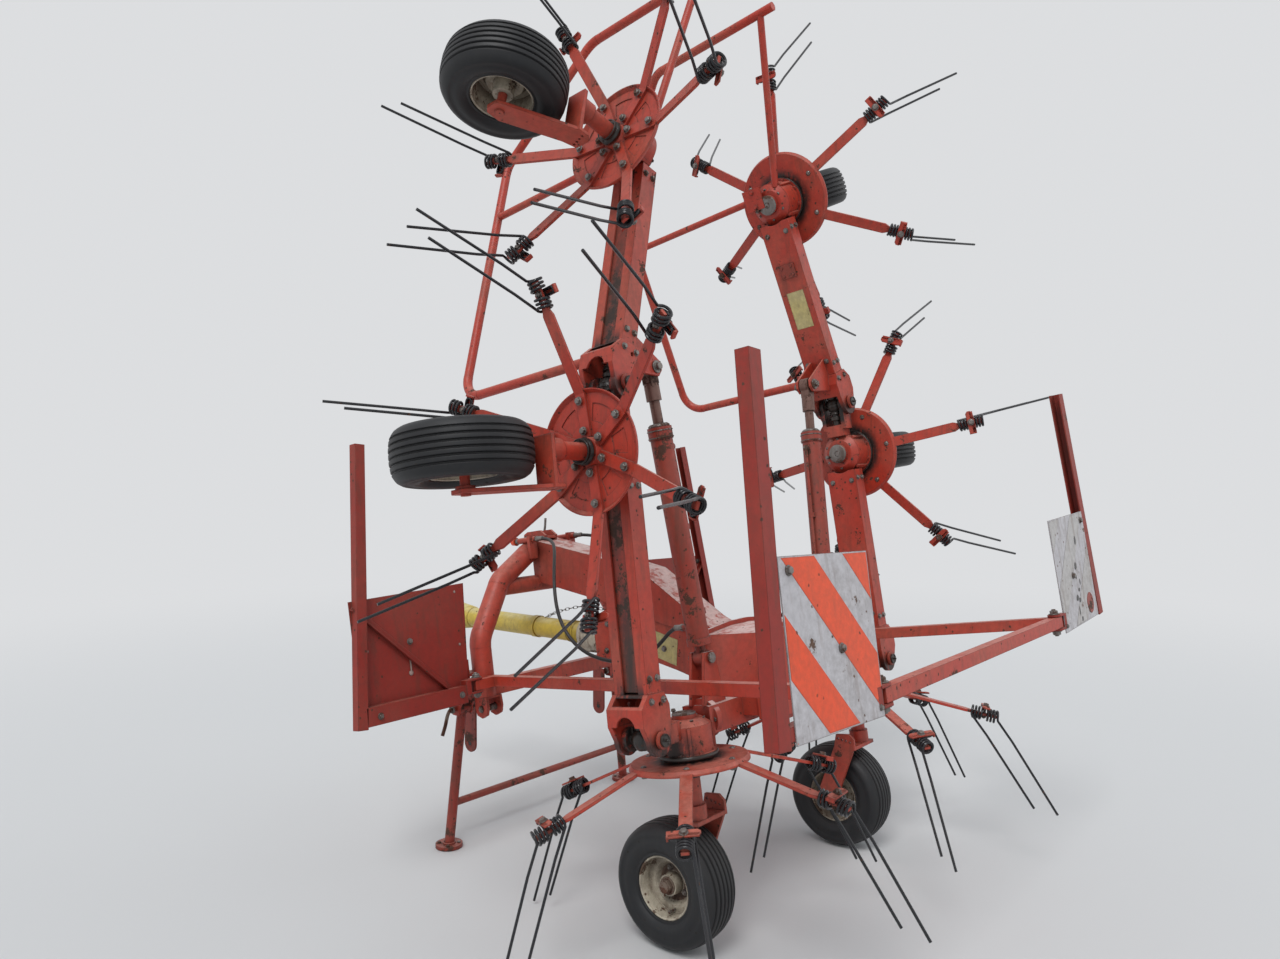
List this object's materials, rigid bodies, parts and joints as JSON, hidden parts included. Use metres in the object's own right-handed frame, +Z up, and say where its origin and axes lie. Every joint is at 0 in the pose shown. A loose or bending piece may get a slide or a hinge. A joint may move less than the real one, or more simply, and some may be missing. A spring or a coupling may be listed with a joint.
{
  "type": "hay tedder",
  "caption": "Tractor-mounted rotary hay tedder with folding wings, spring-tine rotors on ground wheels, guard posts, warning boards and a parking stand, folded for transport.",
  "frame": {"origin": "on the floor under the middle of the overall box, in the machine's plane of symmetry", "axes": "+X to the machine's right, +Y forward to the tractor, +Z up"},
  "size_m": [2.9072, 2.6724, 3.5205],
  "materials": {
    "paint": "worn",
    "guard_yellow": "worn",
    "bare_steel": "worn",
    "spring_black": "worn",
    "tyre": "worn",
    "rim_cream": "worn",
    "bell_cream": "worn",
    "board_white": "worn"
  },
  "bodies": {
    "chassis": {"hose_left": "spring_black", "hose_right": "spring_black", "headstock": "paint", "main_beam": "paint", "centre_box": "paint", "guard_frame": "paint", "pto_shaft": "guard_yellow", "pto_bell": "bell_cream", "input_case": "paint", "top_bracket": "paint", "link_clevis_left": "paint", "link_clevis_right": "paint", "gearbox_centre_left": "paint", "gearbox_centre_right": "paint"},
    "stand": {"stand": "paint"},
    "wing_inner_left": {"beam_inner_left": "paint", "gearbox_inner_left": "paint"},
    "wing_outer_left": {"beam_outer_left": "paint", "gearbox_outer_left": "paint", "hoop_left": "paint"},
    "cylinder_left": {"cylinder_left": "paint"},
    "cylinder_rod_left": {"rod_left": "bare_steel"},
    "wing_inner_right": {"beam_inner_right": "paint", "gearbox_inner_right": "paint"},
    "wing_outer_right": {"beam_outer_right": "paint", "gearbox_outer_right": "paint", "hoop_right": "paint"},
    "cylinder_right": {"cylinder_right": "paint"},
    "cylinder_rod_right": {"rod_right": "bare_steel"},
    "rotor_centre_left": {"rotor_centre_left": "paint", "tines_centre_left": "spring_black"},
    "wheel_centre_left": {"tyre_centre_left": "tyre", "rim_centre_left": "rim_cream"},
    "rotor_centre_right": {"rotor_centre_right": "paint", "tines_centre_right": "spring_black"},
    "wheel_centre_right": {"tyre_centre_right": "tyre", "rim_centre_right": "rim_cream"},
    "rotor_inner_left": {"rotor_inner_left": "paint", "tines_inner_left": "spring_black"},
    "wheel_inner_left": {"tyre_inner_left": "tyre", "rim_inner_left": "rim_cream"},
    "rotor_inner_right": {"rotor_inner_right": "paint", "tines_inner_right": "spring_black"},
    "wheel_inner_right": {"tyre_inner_right": "tyre", "rim_inner_right": "rim_cream"},
    "rotor_outer_left": {"rotor_outer_left": "paint", "tines_outer_left": "spring_black"},
    "wheel_outer_left": {"tyre_outer_left": "tyre", "rim_outer_left": "rim_cream"},
    "rotor_outer_right": {"rotor_outer_right": "paint", "tines_outer_right": "spring_black"},
    "wheel_outer_right": {"tyre_outer_right": "tyre", "rim_outer_right": "rim_cream"},
    "guard_rear_left": {"arm_rear_left": "paint", "board_left": "board_white"},
    "guard_front_left": {"arm_front_left": "paint"},
    "guard_rear_right": {"arm_rear_right": "paint", "board_right": "board_white"},
    "guard_front_right": {"arm_front_right": "paint"}
  },
  "joints": [
    {"name": "wing_inner_left_fold", "type": "hinge", "parent": "chassis", "child": "wing_inner_left", "pos_m": [-0.7655, -0.54203, 0.73168], "axis": [0, -0.9874, 0.1582], "range_deg": [0, 92]},
    {"name": "wing_outer_left_fold", "type": "hinge", "parent": "wing_inner_left", "child": "wing_outer_left", "pos_m": [-0.72694, -0.36738, 1.82211], "axis": [0, -0.9874, 0.1582], "range_deg": [0, 17.5]},
    {"name": "cylinder_left_swing", "type": "hinge", "parent": "chassis", "child": "cylinder_left", "pos_m": [-0.42, -0.51119, 0.92422], "axis": [0, -0.9874, 0.1582], "range_deg": [0, 85.2]},
    {"name": "cylinder_rod_left_slide", "type": "slide", "parent": "cylinder_left", "child": "cylinder_rod_left", "axis": [-0.0969, 0.1574, 0.9828], "range_m": [0, 0.6033]},
    {"name": "wing_inner_right_fold", "type": "hinge", "parent": "chassis", "child": "wing_inner_right", "pos_m": [0.7655, -0.54203, 0.73168], "axis": [0, 0.9874, -0.1582], "range_deg": [0, 92]},
    {"name": "wing_outer_right_fold", "type": "hinge", "parent": "wing_inner_right", "child": "wing_outer_right", "pos_m": [0.72694, -0.36738, 1.82211], "axis": [0, 0.9874, -0.1582], "range_deg": [0, 17.5]},
    {"name": "cylinder_right_swing", "type": "hinge", "parent": "chassis", "child": "cylinder_right", "pos_m": [0.42, -0.51119, 0.92422], "axis": [0, 0.9874, -0.1582], "range_deg": [0, 85.2]},
    {"name": "cylinder_rod_right_slide", "type": "slide", "parent": "cylinder_right", "child": "cylinder_rod_right", "axis": [0.0969, 0.1574, 0.9828], "range_m": [0, 0.6033]},
    {"name": "rotor_centre_left_turn", "type": "hinge", "parent": "chassis", "child": "rotor_centre_left", "pos_m": [-0.5525, -0.55864, 0.628], "axis": [0, 0.1582, 0.9874], "continuous": true},
    {"name": "wheel_centre_left_turn", "type": "hinge", "parent": "chassis", "child": "wheel_centre_left", "pos_m": [-0.5525, -0.50369, 0.206], "axis": [1, 0, 0], "continuous": true},
    {"name": "rotor_centre_right_turn", "type": "hinge", "parent": "chassis", "child": "rotor_centre_right", "pos_m": [0.5525, -0.55864, 0.628], "axis": [0, 0.1582, 0.9874], "continuous": true},
    {"name": "wheel_centre_right_turn", "type": "hinge", "parent": "chassis", "child": "wheel_centre_right", "pos_m": [0.5525, -0.50369, 0.206], "axis": [1, 0, 0], "continuous": true},
    {"name": "rotor_inner_left_turn", "type": "hinge", "parent": "wing_inner_left", "child": "rotor_inner_left", "pos_m": [-0.83931, -0.40046, 1.61553], "axis": [0.9994, -0.0055, -0.0345], "continuous": true},
    {"name": "wheel_inner_left_turn", "type": "hinge", "parent": "wing_inner_left", "child": "wheel_inner_left", "pos_m": [-1.24706, -0.27873, 1.61046], "axis": [-0.0349, -0.1581, -0.9868], "continuous": true},
    {"name": "rotor_inner_right_turn", "type": "hinge", "parent": "wing_inner_right", "child": "rotor_inner_right", "pos_m": [0.83931, -0.40046, 1.61553], "axis": [-0.9994, -0.0055, -0.0345], "continuous": true},
    {"name": "wheel_inner_right_turn", "type": "hinge", "parent": "wing_inner_right", "child": "wheel_inner_right", "pos_m": [1.24706, -0.27873, 1.61046], "axis": [-0.0349, 0.1581, 0.9868], "continuous": true},
    {"name": "rotor_outer_left_turn", "type": "hinge", "parent": "wing_outer_left", "child": "rotor_outer_left", "pos_m": [-0.52816, -0.22885, 2.68697], "axis": [0.9426, -0.0528, -0.3296], "continuous": true},
    {"name": "wheel_outer_left_turn", "type": "hinge", "parent": "wing_outer_left", "child": "wheel_outer_left", "pos_m": [-0.91275, -0.08783, 2.80231], "axis": [-0.3338, -0.1491, -0.9308], "continuous": true},
    {"name": "rotor_outer_right_turn", "type": "hinge", "parent": "wing_outer_right", "child": "rotor_outer_right", "pos_m": [0.52816, -0.22885, 2.68697], "axis": [-0.9426, -0.0528, -0.3296], "continuous": true},
    {"name": "wheel_outer_right_turn", "type": "hinge", "parent": "wing_outer_right", "child": "wheel_outer_right", "pos_m": [0.91275, -0.08783, 2.80231], "axis": [-0.3338, 0.1491, 0.9308], "continuous": true},
    {"name": "guard_rear_left_swing", "type": "hinge", "parent": "chassis", "child": "guard_rear_left", "pos_m": [-0.7, -1.30777, 0.98396], "axis": [0, 0.1582, 0.9874], "range_deg": [0, 90]},
    {"name": "guard_front_left_swing", "type": "hinge", "parent": "chassis", "child": "guard_front_left", "pos_m": [-0.533, 0.52092, 0.69105], "axis": [0, -0.1582, -0.9874], "range_deg": [0, 90]},
    {"name": "guard_rear_right_swing", "type": "hinge", "parent": "chassis", "child": "guard_rear_right", "pos_m": [0.7, -1.30777, 0.98396], "axis": [0, -0.1582, -0.9874], "range_deg": [0, 90]},
    {"name": "guard_front_right_swing", "type": "hinge", "parent": "chassis", "child": "guard_front_right", "pos_m": [0.533, 0.52092, 0.69105], "axis": [0, 0.1582, 0.9874], "range_deg": [0, 90]},
    {"name": "stand_fold", "type": "hinge", "parent": "chassis", "child": "stand", "pos_m": [0, 0.69201, 0.56], "axis": [-1, 0, 0], "range_deg": [0, 85]}
  ],
  "couplings": [
    {"joint": "wing_outer_left_fold", "follows": "wing_inner_left_fold", "ratio": 0.19022},
    {"joint": "cylinder_left_swing", "follows": "wing_inner_left_fold", "ratio": 0.92602},
    {"joint": "cylinder_rod_left_slide", "follows": "wing_inner_left_fold", "m_per_rad": 0.37543},
    {"joint": "wing_outer_right_fold", "follows": "wing_inner_right_fold", "ratio": 0.19022},
    {"joint": "cylinder_right_swing", "follows": "wing_inner_right_fold", "ratio": 0.92602},
    {"joint": "cylinder_rod_right_slide", "follows": "wing_inner_right_fold", "m_per_rad": 0.37543},
    {"joint": "rotor_centre_left_turn", "follows": "rotor_centre_right_turn", "ratio": -1},
    {"joint": "rotor_inner_left_turn", "follows": "rotor_centre_right_turn", "ratio": 1},
    {"joint": "rotor_inner_right_turn", "follows": "rotor_centre_right_turn", "ratio": -1},
    {"joint": "rotor_outer_left_turn", "follows": "rotor_centre_right_turn", "ratio": -1},
    {"joint": "rotor_outer_right_turn", "follows": "rotor_centre_right_turn", "ratio": 1}
  ]
}
